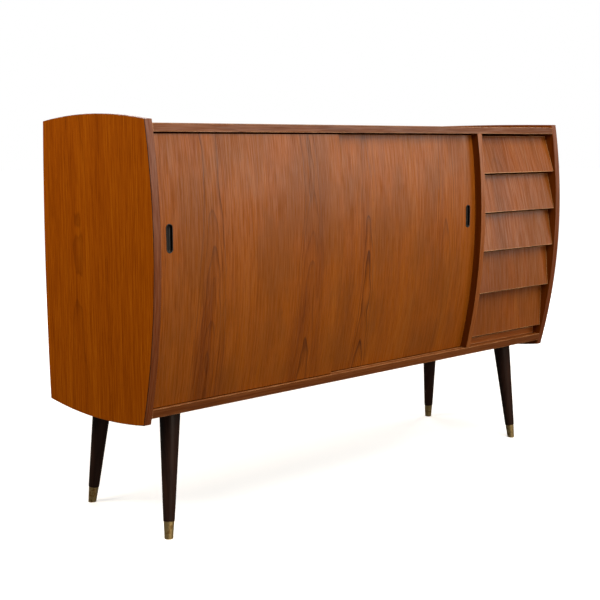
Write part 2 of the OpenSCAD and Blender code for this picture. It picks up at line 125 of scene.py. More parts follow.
def remap(tree, value, fromMin, fromMax, toMin=0.0, toMax=1.0, smooth=False):
    kind = "SMOOTHSTEP" if smooth else "LINEAR"
    node = addNode(tree, "ShaderNodeMapRange", interpolation_type=kind)
    feed(tree, node, Value=value, FromMin=fromMin, FromMax=fromMax, ToMin=toMin, ToMax=toMax)
    return node.outputs[0]


def ease(tree, value, start, end, toMin=0.0, toMax=1.0):
    return remap(tree, value, start, end, toMin, toMax, smooth=True)


def mixColour(tree, factor, a, b):
    node = addNode(tree, "ShaderNodeMix", data_type="RGBA", blend_type="MIX")
    node.clamp_factor = True
    sockets = [s for s in node.inputs if s.enabled]
    for socket, value in zip(sockets, (factor, a, b)):
        plug(tree, value, socket)
    return next(s for s in node.outputs if s.enabled)


def newGroup(name, inputs, outputs):
    # inputs: {name: default, None for a vector}; outputs: {name: "Float" or "Color"}
    tree = bpy.data.node_groups.new(name, "ShaderNodeTree")
    for label, value in inputs.items():
        kind = {float: "NodeSocketFloat", tuple: "NodeSocketColor",
                type(None): "NodeSocketVector"}[type(value)]
        socket = tree.interface.new_socket(name=label, in_out="INPUT", socket_type=kind)
        if value is not None:
            socket.default_value = value
    for label, kind in outputs.items():
        tree.interface.new_socket(name=label, in_out="OUTPUT", socket_type="NodeSocket" + kind)
    source = tree.nodes.new("NodeGroupInput").outputs
    sink = tree.nodes.new("NodeGroupOutput").inputs
    return tree, source, sink


def placeGroup(tree, group, **values):
    node = addNode(tree, "ShaderNodeGroup", node_tree=group)
    return feed(tree, node, **values).outputs


# node groups, each built once and placed in the materials

grain = {        # the veneer figure; "at" is how often a noise turns, across and along the leaf
    "slip": 0.043, "reseed": 0.31,                       # from each leaf to the next
    "sway": {"at": (3.0, 1.6), "noise": (1.6, 2.0, 0.45)},
    "heave": {"at": (5.0, 2.4), "noise": (1.3, 3.0, 0.5)},
    "uneven": {"noise": (34.0, 2.0, 0.5), "rings": 3.0},     # growth that varies by the year
    "ringSeed": 9.0, "ringChance": 1.2, "lateWood": 6.0, "ringFall": (0.92, 1.0),
    "heartStart": 0.015, "ringsByHeart": (0.8, 0.2), "cloudsByHeart": (0.75, 0.25),
    "band": {"seed": 3.0, "noise": (26.0, 3.0, 0.6)},
    "streak": {"at": (190.0, 1.8), "noise": (1.0, 3.0, 0.6, 0.3)},
    "cloud": {"at": (17.0, 2.4), "noise": (1.0, 2.0, 0.55), "span": (0.4, 0.68)},
    "fibre": {"at": (620.0, 9.0), "noise": (1.0, 3.0, 0.6)},
    "pore": {"at": (1500.0, 34.0), "noise": (1.0, 1.0, 0.5), "span": (0.62, 0.72)},
    "fleck": {"at": (430.0, 12.0), "noise": (1.0, 2.0, 0.6), "span": (0.34, 0.66)},
}


def buildLeafFigure():
    # A sheet of sliced veneer: growth rings round a heart that lies under the middle of
    # each leaf and tapers along it, so the rings come out as arches with straight sides.
    masks = ("Ring", "Band", "Streak", "Fibre", "Pore", "Leaf", "Cloud", "Fleck")
    tree, source, sink = newGroup(
        "leafFigure",
        {"Vector": None, "Leaf Width": 0.3, "Leaf Centre": 0.0, "Heart Depth": 0.04,
         "Taper": 0.015, "Ring Width": 0.004, "Wander": 0.02, "Heart Reach": 0.08,
         "Seed": 0.0},
        {mask: "Float" for mask in masks})
    across, _, along = split(tree, source["Vector"])
    width = source["Leaf Width"]
    shifted = calc(tree, "SUBTRACT", across, source["Leaf Centre"])
    counted = calc(tree, "ADD", calc(tree, "DIVIDE", shifted, width), 0.5)
    leaf = calc(tree, "FLOOR", counted)
    local = offMiddle(tree, calc(tree, "SUBTRACT", counted, leaf), width)
    slipped = calc(tree, "MULTIPLY_ADD", leaf, grain["slip"], along)
    seeded = calc(tree, "MULTIPLY_ADD", leaf, grain["reseed"], source["Seed"])

    def drawn(name, sideways=local, seedFirst=False):
        look = grain[name]
        turns = [calc(tree, "MULTIPLY", sideways, look["at"][0]),
                 calc(tree, "MULTIPLY", slipped, look["at"][1])]
        turns.insert(0 if seedFirst else 1, seeded)
        return noise(tree, joined(tree, *turns), *look["noise"])

    sway = calc(tree, "SUBTRACT", drawn("sway"), 0.5)
    heave = offMiddle(tree, drawn("heave", seedFirst=True), source["Wander"])
    heart = calc(tree, "ADD", calc(tree, "MULTIPLY_ADD", slipped, source["Taper"],
                                   source["Heart Depth"]), heave)
    side = calc(tree, "MULTIPLY_ADD", sway, source["Wander"], local)
    radius = calc(tree, "SQRT", calc(tree, "ADD", calc(tree, "MULTIPLY", side, side),
                                     calc(tree, "MULTIPLY", heart, heart)))
    nearHeart = ease(tree, calc(tree, "ABSOLUTE", side), grain["heartStart"],
                     source["Heart Reach"], 1.0, 0.0)

    uneven = lineNoise(tree, calc(tree, "ADD", radius, seeded), *grain["uneven"]["noise"])
    count = calc(tree, "MULTIPLY_ADD", uneven, grain["uneven"]["rings"],
                 calc(tree, "DIVIDE", radius, source["Ring Width"]))
    ringShare = calc(tree, "FRACT", count)
    whichRing = calc(tree, "ADD", calc(tree, "FLOOR", count),
                     calc(tree, "MULTIPLY", seeded, grain["ringSeed"]))
    strength = calc(tree, "POWER", chanceOf(tree, whichRing), grain["ringChance"])
    late = calc(tree, "POWER", ringShare, grain["lateWood"])
    fall = ease(tree, ringShare, *grain["ringFall"], 1.0, 0.0)
    ring = calc(tree, "MULTIPLY", calc(tree, "MULTIPLY", late, fall),
                calc(tree, "MULTIPLY", strength,
                     calc(tree, "MULTIPLY_ADD", nearHeart, *grain["ringsByHeart"])))
    bandAt = calc(tree, "ADD", radius, calc(tree, "MULTIPLY", seeded, grain["band"]["seed"]))
    cloud = calc(tree, "MULTIPLY",
                 ease(tree, drawn("cloud", sideways=side), *grain["cloud"]["span"]),
                 calc(tree, "MULTIPLY_ADD", nearHeart, *grain["cloudsByHeart"]))
    made = {
        "Ring": ring, "Band": lineNoise(tree, bandAt, *grain["band"]["noise"]),
        "Streak": drawn("streak"), "Fibre": drawn("fibre"),
        "Pore": ease(tree, drawn("pore"), *grain["pore"]["span"]),
        "Leaf": chanceOf(tree, seeded), "Cloud": cloud,
        "Fleck": remap(tree, drawn("fleck"), *grain["fleck"]["span"])}
    for mask in masks:
        tree.links.new(made[mask], sink[mask])
    return tree


toning = {       # how strongly the masks turn into colour, height and roughness
    "leafShift": 0.12, "toDeep": 2.2, "toPale": -2.2, "poreInk": 0.45,
    "fibreHeight": 0.5, "poreHeight": 0.6, "ringHeight": 0.25,
    "fibreGloss": 0.25, "poreGloss": 0.5,
}


def buildWoodTone():
    # Turns the figure's masks into a colour, a height and a roughness share.
    tree, source, sink = newGroup(
        "woodTone",
        {"Pale": grey(1.0), "Body": grey(0.5), "Deep": grey(0.2), "Line": grey(0.05),
         "Ring": 0.0, "Band": 0.5, "Streak": 0.5, "Fibre": 0.5, "Pore": 0.0, "Leaf": 0.5,
         "Cloud": 0.0, "Cloud Strength": 0.4, "Fleck": 0.5, "Fleck Strength": 1.0,
         "Band Strength": 1.0, "Streak Strength": 1.0, "Fibre Strength": 1.0,
         "Ring Strength": 1.0},
        {"Color": "Color", "Height": "Float", "Gloss": "Float"})
    bands, streaks, fibres, flecks = [
        offMiddle(tree, source[mask], source[f"{mask} Strength"])
        for mask in ("Band", "Streak", "Fibre", "Fleck")]
    leafShift = offMiddle(tree, source["Leaf"], toning["leafShift"])
    clouds = calc(tree, "MULTIPLY", source["Cloud"], source["Cloud Strength"])
    tone = calc(tree, "ADD", calc(tree, "ADD", bands, streaks),
                calc(tree, "ADD", calc(tree, "ADD", fibres, flecks),
                     calc(tree, "ADD", leafShift, clouds)))
    toDeep = calc(tree, "MULTIPLY", tone, toning["toDeep"], clamp=True)
    toPale = calc(tree, "MULTIPLY", tone, toning["toPale"], clamp=True)
    base = mixColour(tree, toDeep, source["Body"], source["Deep"])
    base = mixColour(tree, toPale, base, source["Pale"])
    rings = calc(tree, "MULTIPLY", source["Ring"], source["Ring Strength"], clamp=True)
    lined = mixColour(tree, rings, base, source["Line"])
    pored = mixColour(tree, calc(tree, "MULTIPLY", source["Pore"], toning["poreInk"]), lined,
                      source["Line"])
    height = calc(tree, "SUBTRACT", calc(tree, "MULTIPLY", source["Fibre"],
                                         toning["fibreHeight"]),
                  calc(tree, "MULTIPLY_ADD", source["Pore"], toning["poreHeight"],
                       calc(tree, "MULTIPLY", rings, toning["ringHeight"])))
    gloss = calc(tree, "ADD", calc(tree, "MULTIPLY", fibres, toning["fibreGloss"]),
                 calc(tree, "MULTIPLY", source["Pore"], toning["poreGloss"]))
    for label, made in (("Color", pored), ("Height", height), ("Gloss", gloss)):
        tree.links.new(made, sink[label])
    return tree


rubbingAndGlint = {      # arrises, for wear and for painted highlights
    "bevelRays": 6, "turn": (0.995, 0.86),       # how far the normal turns, none to full
    "patch": (4.0, 0.65), "patchSpan": (0.35, 0.65), "least": 0.15,
}


def buildEdgeWearAndGlint():
    # How near a point is to an arris, broken up so that the marked places come and go; the mask
    # lightens arrises for wear and, on the drawer fronts and the boards' edges, for a painted
    # highlight
    tree, source, sink = newGroup(
        "edgeWearAndGlint",
        {"Vector": None, "Breadth": 0.002, "Breakup": 30.0, "Amount": 1.0},
        {"Mask": "Float"})
    bevel = addNode(tree, "ShaderNodeBevel", samples=rubbingAndGlint["bevelRays"])
    feed(tree, bevel, Radius=source["Breadth"])
    flat = addNode(tree, "ShaderNodeNewGeometry").outputs["Normal"]
    turn = addNode(tree, "ShaderNodeVectorMath", operation="DOT_PRODUCT")
    tree.links.new(bevel.outputs[0], turn.inputs[0])
    tree.links.new(flat, turn.inputs[1])
    edge = ease(tree, turn.outputs["Value"], *rubbingAndGlint["turn"])
    patches = remap(tree, noise(tree, source["Vector"], source["Breakup"], *rubbingAndGlint["patch"]),
                    *rubbingAndGlint["patchSpan"], rubbingAndGlint["least"], 1.0)
    tree.links.new(calc(tree, "MULTIPLY", calc(tree, "MULTIPLY", edge, patches),
                        source["Amount"], clamp=True), sink["Mask"])
    return tree


handling = {     # smudges
    "patch": (3.0, 0.55, 0.4), "speckFiner": 22.0, "speck": (2.0, 0.6), "speckSpan": (0.68, 0.8),
}


def buildSmudges():
    # Broad soft patches of handling and polish, with finer specks in them
    tree, source, sink = newGroup("smudges", {"Vector": None, "Scale": 4.0},
                                  {"Patch": "Float", "Speck": "Float"})
    patch = noise(tree, source["Vector"], source["Scale"], *handling["patch"])
    finer = calc(tree, "MULTIPLY", source["Scale"], handling["speckFiner"])
    speck = noise(tree, source["Vector"], finer, *handling["speck"])
    tree.links.new(patch, sink["Patch"])
    tree.links.new(ease(tree, speck, *handling["speckSpan"]), sink["Speck"])
    return tree


leafFigure = buildLeafFigure()
woodTone = buildWoodTone()
edgeWearAndGlint = buildEdgeWearAndGlint()
smudges = buildSmudges()
print("node groups built")


# materials

def startTree(owner, outputKind):
    owner.use_nodes = True
    tree = owner.node_tree
    tree.nodes.clear()
    return tree, addNode(tree, outputKind).inputs["Surface"]


def startMaterial(name):
    tree, surface = startTree(bpy.data.materials.new(name), "ShaderNodeOutputMaterial")
    shader = addNode(tree, "ShaderNodeBsdfPrincipled")
    tree.links.new(shader.outputs[0], surface)
    place = addNode(tree, "ShaderNodeTexCoord").outputs["Object"]
    return tree, shader, place


def bumped(tree, shader, height, strength, distance):
    bump = addNode(tree, "ShaderNodeBump")
    feed(tree, bump, Strength=strength, Distance=distance, Height=height)
    tree.links.new(bump.outputs[0], shader.inputs["Normal"])


woodFinish = {   # what every wood shares
    "heartReach": 0.09, "wearBreakup": 26.0, "smudgeScale": 5.0, "smudgeRough": 0.16,
    "smokeAt": (9.0, 3.6), "smokeNoise": (1.0, 3.0, 0.6), "smokeSpan": (0.42, 0.64),
    "seamInk": 0.85, "waxByFleck": (0.1, 0.9, 1.7, 0.3), "coatRoughness": 0.4,
    "coatBend": 1.5, "bend": 1.45, "bump": 0.35, "bumpHeight": 0.0004,
}


def makeWood(name, look):
    tree, shader, place = startMaterial(name)
    axes = dict(zip("XYZ", split(tree, place)))
    across, along = axes[look["across"]], axes[look["along"]]
    spare = next(a for a in "XYZ" if a not in (look["across"], look["along"]))
    colours = {key: srgb(look[key]) for key in ("pale", "body", "deep", "line")}
    figure = placeGroup(
        tree, leafFigure, Vector=joined(tree, across, axes[spare], along),
        LeafWidth=look["leafWidth"], LeafCentre=look["leafCentre"],
        HeartDepth=look["heartDepth"], Taper=look["taper"], RingWidth=look["ringWidth"],
        Wander=look["wander"], HeartReach=woodFinish["heartReach"], Seed=look["seed"])
    tone = placeGroup(
        tree, woodTone, Pale=colours["pale"], Body=colours["body"], Deep=colours["deep"],
        Line=colours["line"], FleckStrength=look["flecks"], CloudStrength=look["clouds"],
        BandStrength=look["bands"], StreakStrength=look["streaks"],
        FibreStrength=look["fibres"], RingStrength=look["rings"],
        **{mask.name: mask for mask in figure})
    wear = placeGroup(tree, edgeWearAndGlint, Vector=place, Breadth=look["wearBreadth"],
                      Breakup=woodFinish["wearBreakup"], Amount=look["wear"])["Mask"]
    patch = placeGroup(tree, smudges, Vector=place, Scale=woodFinish["smudgeScale"])["Patch"]
    tint = mixColour(tree, calc(tree, "MULTIPLY", patch, look["mottle"]), tone["Color"],
                     colours["deep"])
    # lightens the arrises: wear on most pieces, and on the drawer fronts and the boards' edges
    # also a painted highlight where the arris catches the light
    tint = mixColour(tree, wear, tint, srgb(look.get("wornTo", look["pale"])))
    rough = calc(tree, "ADD", calc(tree, "ADD", look["roughness"], tone["Gloss"]),
                 offMiddle(tree, patch, woodFinish["smudgeRough"]), clamp=True)
    if "smoke" in look:    # long soft patches where the veneer has darkened
        smokeAt = joined(tree, calc(tree, "MULTIPLY", across, woodFinish["smokeAt"][0]),
                         look["seed"],
                         calc(tree, "MULTIPLY", along, woodFinish["smokeAt"][1]))
        smoke = ease(tree, noise(tree, smokeAt, *woodFinish["smokeNoise"]),
                     *woodFinish["smokeSpan"])
        tint = mixColour(tree, calc(tree, "MULTIPLY", smoke, look["smoke"]), tint,
                         srgb(look["smokeTone"]))
    if "seam" in look:     # the dark joint between the lipping and the face veneer
        joint = ease(tree, calc(tree, "ABSOLUTE", axes["X"]), *look["seam"])
        tint = mixColour(tree, calc(tree, "MULTIPLY", joint, woodFinish["seamInk"]), tint,
                         colours["line"])
    wax = calc(tree, "MULTIPLY", remap(tree, figure["Fleck"], *woodFinish["waxByFleck"]),
               look["wax"], clamp=True)
    feed(tree, shader, BaseColor=tint, Roughness=rough, IOR=woodFinish["bend"],
         SpecularIORLevel=look["specular"], CoatWeight=wax,
         CoatRoughness=woodFinish["coatRoughness"], CoatIOR=woodFinish["coatBend"])
    bumped(tree, shader, tone["Height"], woodFinish["bump"], woodFinish["bumpHeight"])


plainWood = {    # what a wood has unless it says otherwise
    "flecks": 0.25, "clouds": 0.2, "specular": 0.2, "wax": 0.3, "wear": 0.5,
    "wearBreadth": 0.0025, "mottle": 0.25,
}
teakEnd = {      # outer and inner faces of the end panels: straight, strongly orange
    **plainWood, "along": "Z", "across": "Y", "leafWidth": 0.62, "leafCentre": 0.09,
    "heartDepth": 0.14, "taper": 0.012, "ringWidth": 0.0062, "wander": 0.03, "seed": 4.3,
    "pale": "#b8650a", "body": "#a45102", "deep": "#833a00", "line": "#4e1d00",
    "bands": 0.55, "streaks": 0.8, "fibres": 0.8, "flecks": 0.42, "rings": 0.8,
    "roughness": 0.6, "specular": 0.02, "wax": 0.015, "wear": 0.3, "mottle": 0.2,
}
teakDoor = {     # doors: arches of figure up the middle of each leaf
    **plainWood, "along": "Z", "across": "X", "leafWidth": 0.328, "leafCentre": -0.622,
    "heartDepth": 0.03, "taper": 0.03, "ringWidth": 0.0048, "wander": 0.024, "seed": 1.7,
    "pale": "#a05e16", "body": "#8e4a0a", "deep": "#6b3206", "line": "#351404",
    "bands": 0.24, "streaks": 0.4, "fibres": 0.6, "flecks": 0.2, "rings": 1.6,
    "clouds": 0.3, "roughness": 0.4, "specular": 0.1, "wax": 0.42, "wear": 0.35,
    "mottle": 0.12, "smoke": 0.4, "smokeTone": "#6b3a10",
}
teakEdge = {     # solid lipping on upright edges, greyer than the veneer
    **plainWood, "along": "Z", "across": "X", "leafWidth": 0.5, "leafCentre": 0.1,
    "heartDepth": 0.2, "taper": 0.01, "ringWidth": 0.0035, "wander": 0.012, "seed": 21.0,
    "pale": "#824920", "body": "#6b3514", "deep": "#502409", "line": "#2e1203",
    "bands": 0.7, "streaks": 0.8, "fibres": 0.6, "flecks": 0.3, "rings": 0.6,
    "roughness": 0.46, "specular": 0.15, "wax": 0.5, "wear": 0.7, "mottle": 0.2,
}
teakBoard = {    # the show faces of the top and bottom boards, grain along the length
    **plainWood, "along": "X", "across": "Y", "leafWidth": 0.24, "leafCentre": -0.1,
    "heartDepth": 0.05, "taper": 0.022, "ringWidth": 0.005, "wander": 0.04, "seed": 31.0,
    "pale": "#9c5a26", "body": "#864818", "deep": "#68330d", "line": "#3c1905",
    "bands": 0.7, "streaks": 0.8, "fibres": 0.5, "rings": 0.8, "clouds": 0.35,
    "roughness": 0.5, "specular": 0.1, "wax": 0.25, "wear": 0.4,
}
# front edges of the boards, and the rail copied from them: their light arrises are partly wear
# and partly a painted highlight along the arris
teakBoardEdge = {
    **teakBoard, "across": "Z", "leafWidth": 0.4, "leafCentre": 0.6, "seed": 36.0,
    "pale": "#854c22", "body": "#6c3915", "deep": "#53280b", "ringWidth": 0.004,
    "wander": 0.012, "heartDepth": 0.15, "wear": 1.7, "roughness": 0.42, "specular": 0.12,
    "wax": 0.35, "wearBreadth": 0.0032, "wornTo": "#bb8a5e",
}
liningWood = {   # the shelves behind the doors
    **teakBoard, "pale": "#c08850", "body": "#ab7038", "deep": "#8d5526", "line": "#5d3214",
    "seed": 50.0, "rings": 0.45,
}
plywood = {      # the back of the cabinet
    **plainWood, "along": "Z", "across": "X", "leafWidth": 0.62, "leafCentre": 0.1,
    "heartDepth": 0.09, "taper": 0.05, "ringWidth": 0.007, "wander": 0.09, "seed": 60.0,
    "pale": "#d9b583", "body": "#c99f6a", "deep": "#b0834e", "line": "#8a6238",
    "bands": 0.7, "streaks": 0.4, "fibres": 0.5, "rings": 0.45, "roughness": 0.58,
    "specular": 0.3, "wax": 0.1, "wear": 0.2, "mottle": 0.3,
}
legWood = {      # near-black stained beech
    **plainWood, "along": "Z", "across": "X", "leafWidth": 0.2, "leafCentre": 0.05,
    "heartDepth": 0.05, "taper": 0.02, "ringWidth": 0.004, "wander": 0.01, "seed": 80.0,
    "pale": "#3f2618", "body": "#2b1810", "deep": "#1b0e08", "line": "#0d0604",
    "bands": 0.8, "streaks": 0.8, "fibres": 0.6, "rings": 0.5, "roughness": 0.33,
    "specular": 0.3, "wax": 0.1, "wear": 0.4, "wornTo": "#5a3a26", "mottle": 0.3,
}
woodLooks = {
    "teakEnd": teakEnd, "teakDoor": teakDoor, "teakEdge": teakEdge, "teakBoard": teakBoard,
    "teakBoardEdge": teakBoardEdge, "liningWood": liningWood, "plywood": plywood,
    "legWood": legWood,
    "teakDoorRear": {**teakDoor, "leafCentre": -0.068, "seed": 7.9},
    # drawer fronts: the light line along each front's arrises is mostly a painted highlight of
    # the arris catching the light, partly wear
    "teakFront": {**teakDoor, "leafWidth": 0.37, "leafCentre": 0.48, "seed": 12.4,
                  "heartDepth": 0.09, "pale": "#965818", "body": "#84430c",
                  "deep": "#663006", "wax": 0.6, "streaks": 0.45, "flecks": 0.16,
                  "rings": 0.7, "wear": 2.2, "wornTo": "#d2a274", "wearBreadth": 0.0042},
    "teakPanelEdge": {**teakEdge, "seed": 22.5, "seam": (0.7978, 0.799),
                      "pale": "#854a1e", "body": "#6d3512", "deep": "#522408"},
    "teakDividerEdge": {**teakEdge, "seed": 23.5, "pale": "#9a5a26", "body": "#844618",
                        "deep": "#69330d"},
    "teakEdgeFlat": {**teakEdge, "along": "Y", "seed": 24.0},
    # the doors' tongues, painted near-black: painted shade for the dark gaps above and below
    # each door
    "teakGroove": {**teakEdge, "seed": 26.0, "pale": "#2a1206", "body": "#1d0b03",
                   "deep": "#120601", "line": "#0a0300", "specular": 0.0, "wax": 0.0,
                   "roughness": 0.8},
    "teakRail": {**teakBoardEdge, "seed": 38.0, "pale": "#a8642a", "body": "#924f1c",
                 "deep": "#743a10"},
    # the divider's side faces, darker than the end panels' veneer: painted shade for the recess
    # beside the rear door
    "teakDivider": {**teakEnd, "seed": 41.0, "pale": "#773a0c", "body": "#662e06",
                    "deep": "#4e2003", "leafWidth": 0.5, "leafCentre": 0.0},
    # the end panels' inner faces, darker than the outer faces: painted shade beside the drawers
    "teakEndInside": {**teakEnd, "seed": 44.0, "pale": "#85430a", "body": "#713404",
                      "deep": "#572401"},
    "liningUpright": {**liningWood, "along": "Z", "across": "Y", "seed": 53.0},
    "plywoodBay": {**plywood, "seed": 66.0, "leafCentre": 0.52, "pale": "#d2ad7a",
                   "body": "#c09560", "deep": "#a87b48"},
    "plywoodFlat": {**plywood, "along": "X", "across": "Y", "seed": 64.0},
    # drawer sides, runners and dowels
    "drawerWood": {**plywood, "along": "Y", "across": "Z", "leafWidth": 0.3,
                   "leafCentre": 0.7, "ringWidth": 0.004, "wander": 0.02, "seed": 70.0,
                   "pale": "#d4a978", "body": "#c2935f", "deep": "#a67645"},
}

metalFinish = {  # what the metals share
    "wearBreadth": 0.0015, "wearBreakup": 60.0, "stainSpan": (0.45, 0.66), "speckInk": 0.7,
    "turning": (2600.0, 2.0, 0.6),               # fine rings left by the lathe
    "stainRough": 0.22, "turningRough": 0.12, "turningHeight": 0.6,
    "bump": 0.25, "bumpHeight": 0.0002,
}
metalLooks = {
    "agedBrass": {"clean": "#e3c78a", "tarnish": "#86602f", "bright": "#f6e8bc",
                  "stain": 0.85, "roughness": 0.36, "patchScale": 70.0, "wear": 0.7},
    "plainBrass": {"clean": "#cfae66", "tarnish": "#8c6a35", "bright": "#efdca4",
                   "stain": 0.5, "roughness": 0.28, "patchScale": 120.0, "wear": 0.6},
    "zincSteel": {"clean": "#b9bcc0", "tarnish": "#7f8286", "bright": "#e2e4e6",
                  "stain": 0.6, "roughness": 0.34, "patchScale": 110.0, "wear": 0.5},
}


def makeMetal(name, look):
    tree, shader, place = startMaterial(name)
    clean, tarnish, bright = [srgb(look[key]) for key in ("clean", "tarnish", "bright")]
    marks = placeGroup(tree, smudges, Vector=place, Scale=look["patchScale"])
    wear = placeGroup(tree, edgeWearAndGlint, Vector=place, Breadth=metalFinish["wearBreadth"],
                      Breakup=metalFinish["wearBreakup"], Amount=look["wear"])["Mask"]
    stain = ease(tree, marks["Patch"], *metalFinish["stainSpan"])
    tint = mixColour(tree, calc(tree, "MULTIPLY", stain, look["stain"]), clean, tarnish)
    tint = mixColour(tree, calc(tree, "MULTIPLY", marks["Speck"], metalFinish["speckInk"]),
                     tint, tarnish)
    tint = mixColour(tree, wear, tint, bright)
    lines = lineNoise(tree, split(tree, place)["Z"], *metalFinish["turning"])
    rough = calc(tree, "ADD", calc(tree, "MULTIPLY_ADD", stain, metalFinish["stainRough"],
                                   look["roughness"]),
                 calc(tree, "MULTIPLY", lines, metalFinish["turningRough"]), clamp=True)
    feed(tree, shader, BaseColor=tint, Roughness=rough, Metallic=1.0)
    bumped(tree, shader, calc(tree, "MULTIPLY_ADD", lines, metalFinish["turningHeight"],
                              marks["Speck"]), metalFinish["bump"], metalFinish["bumpHeight"])


plasticLook = {  # the black finger pulls
    "dark": "#030303", "body": "#070708", "worn": "#24211f", "patchScale": 60.0,
    "wearBreadth": 0.0012, "wearBreakup": 80.0, "wear": 0.8, "patchRough": 0.2,
    "roughness": 0.3, "bend": 1.5, "speckle": (2200.0, 2.0, 0.5), "bump": 0.12,
    "bumpHeight": 0.0002,
}


def makePlastic(name, look):
    tree, shader, place = startMaterial(name)
    patch = placeGroup(tree, smudges, Vector=place, Scale=look["patchScale"])["Patch"]
    wear = placeGroup(tree, edgeWearAndGlint, Vector=place, Breadth=look["wearBreadth"],
                      Breakup=look["wearBreakup"], Amount=look["wear"])["Mask"]
    tint = mixColour(tree, patch, srgb(look["dark"]), srgb(look["body"]))
    tint = mixColour(tree, wear, tint, srgb(look["worn"]))
    rough = calc(tree, "MULTIPLY_ADD", patch, look["patchRough"], look["roughness"],
                 clamp=True)
    feed(tree, shader, BaseColor=tint, Roughness=rough, IOR=look["bend"])
    bumped(tree, shader, noise(tree, place, *look["speckle"]), look["bump"],
           look["bumpHeight"])


for name, look in woodLooks.items():
    makeWood(name, look)
for name, look in metalLooks.items():
    makeMetal(name, look)
makePlastic("blackPlastic", plasticLook)
finishes = bpy.data.materials
print("materials built:", len(finishes))


# dressing the CAD nodes

facing = {       # how squarely a face looks along an axis, and where a door's face shows
    "x": 0.9, "y": 0.5, "z": 0.8, "doorLow": 0.3585, "doorHigh": 1.0165,
}


def anyFace(face):
    return True


def facesX(face):
    return abs(face.normal.x) > facing["x"]


def facesIn(face):
    return facesX(face) and face.normal.x * face.center.x < 0


def facesY(face):
    return abs(face.normal.y) > facing["y"]


def facesZ(face):
    return abs(face.normal.z) > facing["z"]


# faces above and below a door's show face, which get the painted shade of the gaps
def onTongue(face):
    return not facing["doorLow"] < face.center.z < facing["doorHigh"]


def dress(nodeNames, *rules):
    # rules: (finish, test of a face) pairs; the first that fits is used
    for nodeName in nodeNames:
        mesh = cadNodes[nodeName].data
        mesh.materials.clear()
        for finish, _ in rules:
            mesh.materials.append(finishes[finish])
        for face in mesh.polygons:
            face.material_index = next(i for i, (_, fits) in enumerate(rules) if fits(face))


def ofDrawers(*parts):
    return [f"drawer_{count}_{part}" for count in range(1, 6) for part in parts]


def ofLegs(part):
    return [f"{corner}_{part}" for corner in ("front_left", "front_right", "rear_left",
                                              "rear_right")]


dress(("left_end_panel", "right_end_panel"), ("teakEndInside", facesIn), ("teakEnd", facesX),
      ("teakPanelEdge", facesY), ("teakEdgeFlat", anyFace))
dress(("top_board", "bottom_board"), ("teakBoard", facesZ), ("teakBoardEdge", anyFace))
dress(["divider"], ("teakDivider", facesX), ("teakDividerEdge", anyFace))
dress(["drawer_rail"], ("teakRail", anyFace))
dress(["partition"], ("liningUpright", anyFace))
dress(("left_shelf", "right_shelf"), ("liningWood", anyFace))
dress(["cabinet_back"], ("plywood", anyFace))
dress(["drawer_bay_back"], ("plywoodBay", anyFace))
# the doors' tongues take the painted shade of the gaps at the boards
dress(["front_door"], ("teakGroove", onTongue), ("teakEdge", facesX), ("teakDoor", anyFace))
dress(["rear_door"], ("teakGroove", onTongue), ("teakEdge", facesX), ("teakDoorRear", anyFace))
dress(ofDrawers("front"), ("teakEdge", facesX), ("teakFront", anyFace))
dress(ofDrawers("bottom", "back"), ("plywoodFlat", anyFace))
dress([*ofDrawers("left_side", "right_side"), "left_runners", "right_runners",
       "carcass_dowels"], ("drawerWood", anyFace))
dress(ofLegs("leg"), ("legWood", anyFace))
dress(ofLegs("ferrule"), ("agedBrass", anyFace))
dress(("shelf_pins", "back_screws"), ("plainBrass", anyFace))
dress(("leg_bolts", "leg_inserts"), ("zincSteel", anyFace))
dress(("front_door_pull", "rear_door_pull"), ("blackPlastic", anyFace))
print("nodes dressed")


# extra pieces

def link(name, data):
    thing = bpy.data.objects.new(name, data)
    bpy.context.scene.collection.objects.link(thing)
    return thing


def meshFrom(name, shape):
    mesh = bpy.data.meshes.new(name)
    shape.to_mesh(mesh)
    shape.free()
    return mesh


def meshInOrder(name, shape):
    # the faces go in a fixed order, each from its first point, so that every run is the same
    shape.verts.index_update()
    faces = []
    for face in shape.faces:
        corners = [vertex.index for vertex in face.verts]
        first = corners.index(min(corners))
        faces.append(corners[first:] + corners[:first])
    mesh = bpy.data.meshes.new(name)
    mesh.from_pydata([vertex.co for vertex in shape.verts], [], sorted(faces))
    shape.free()
    return mesh


def middleOf(values):
    return (min(values) + max(values)) / 2


sharpFrom = math.radians(38)     # edges that turn by more than this stay crisp


def addPiece(name, mesh, finish, bodyName, standsFor):
    mesh.validate()
    for face in mesh.polygons:
        face.use_smooth = True
    mesh.set_sharp_from_angle(angle=sharpFrom)
    mesh.materials.append(finishes[finish])
    piece = link(name, mesh)
    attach(piece, bodyName)
    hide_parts(standsFor)


pull = {         # finger pull: a soft rim round a cup with a dished floor, one moulding
    "halfRound": 28,             # steps round each end
    "backInset": 0.003, "cornerRound": 0.0003, "rimInset": 0.001, "rimBack": 0.0016,
    # inset from the outline and depth behind the front, over the rim and down the cup
    "section": ((0.0, 0.00145), (0.0, 0.0005), (0.00018, 0.00016), (0.0005, 0.0),
                (0.0009, 0.0), (0.0015, 0.0001), (0.00195, 0.00042), (0.00215, 0.00095),
                (0.0022, 0.0018), (0.00228, 0.0070), (0.0025, 0.0079), (0.0031, 0.0084),
                (0.0043, 0.0086), (0.0065, 0.0087)),
}


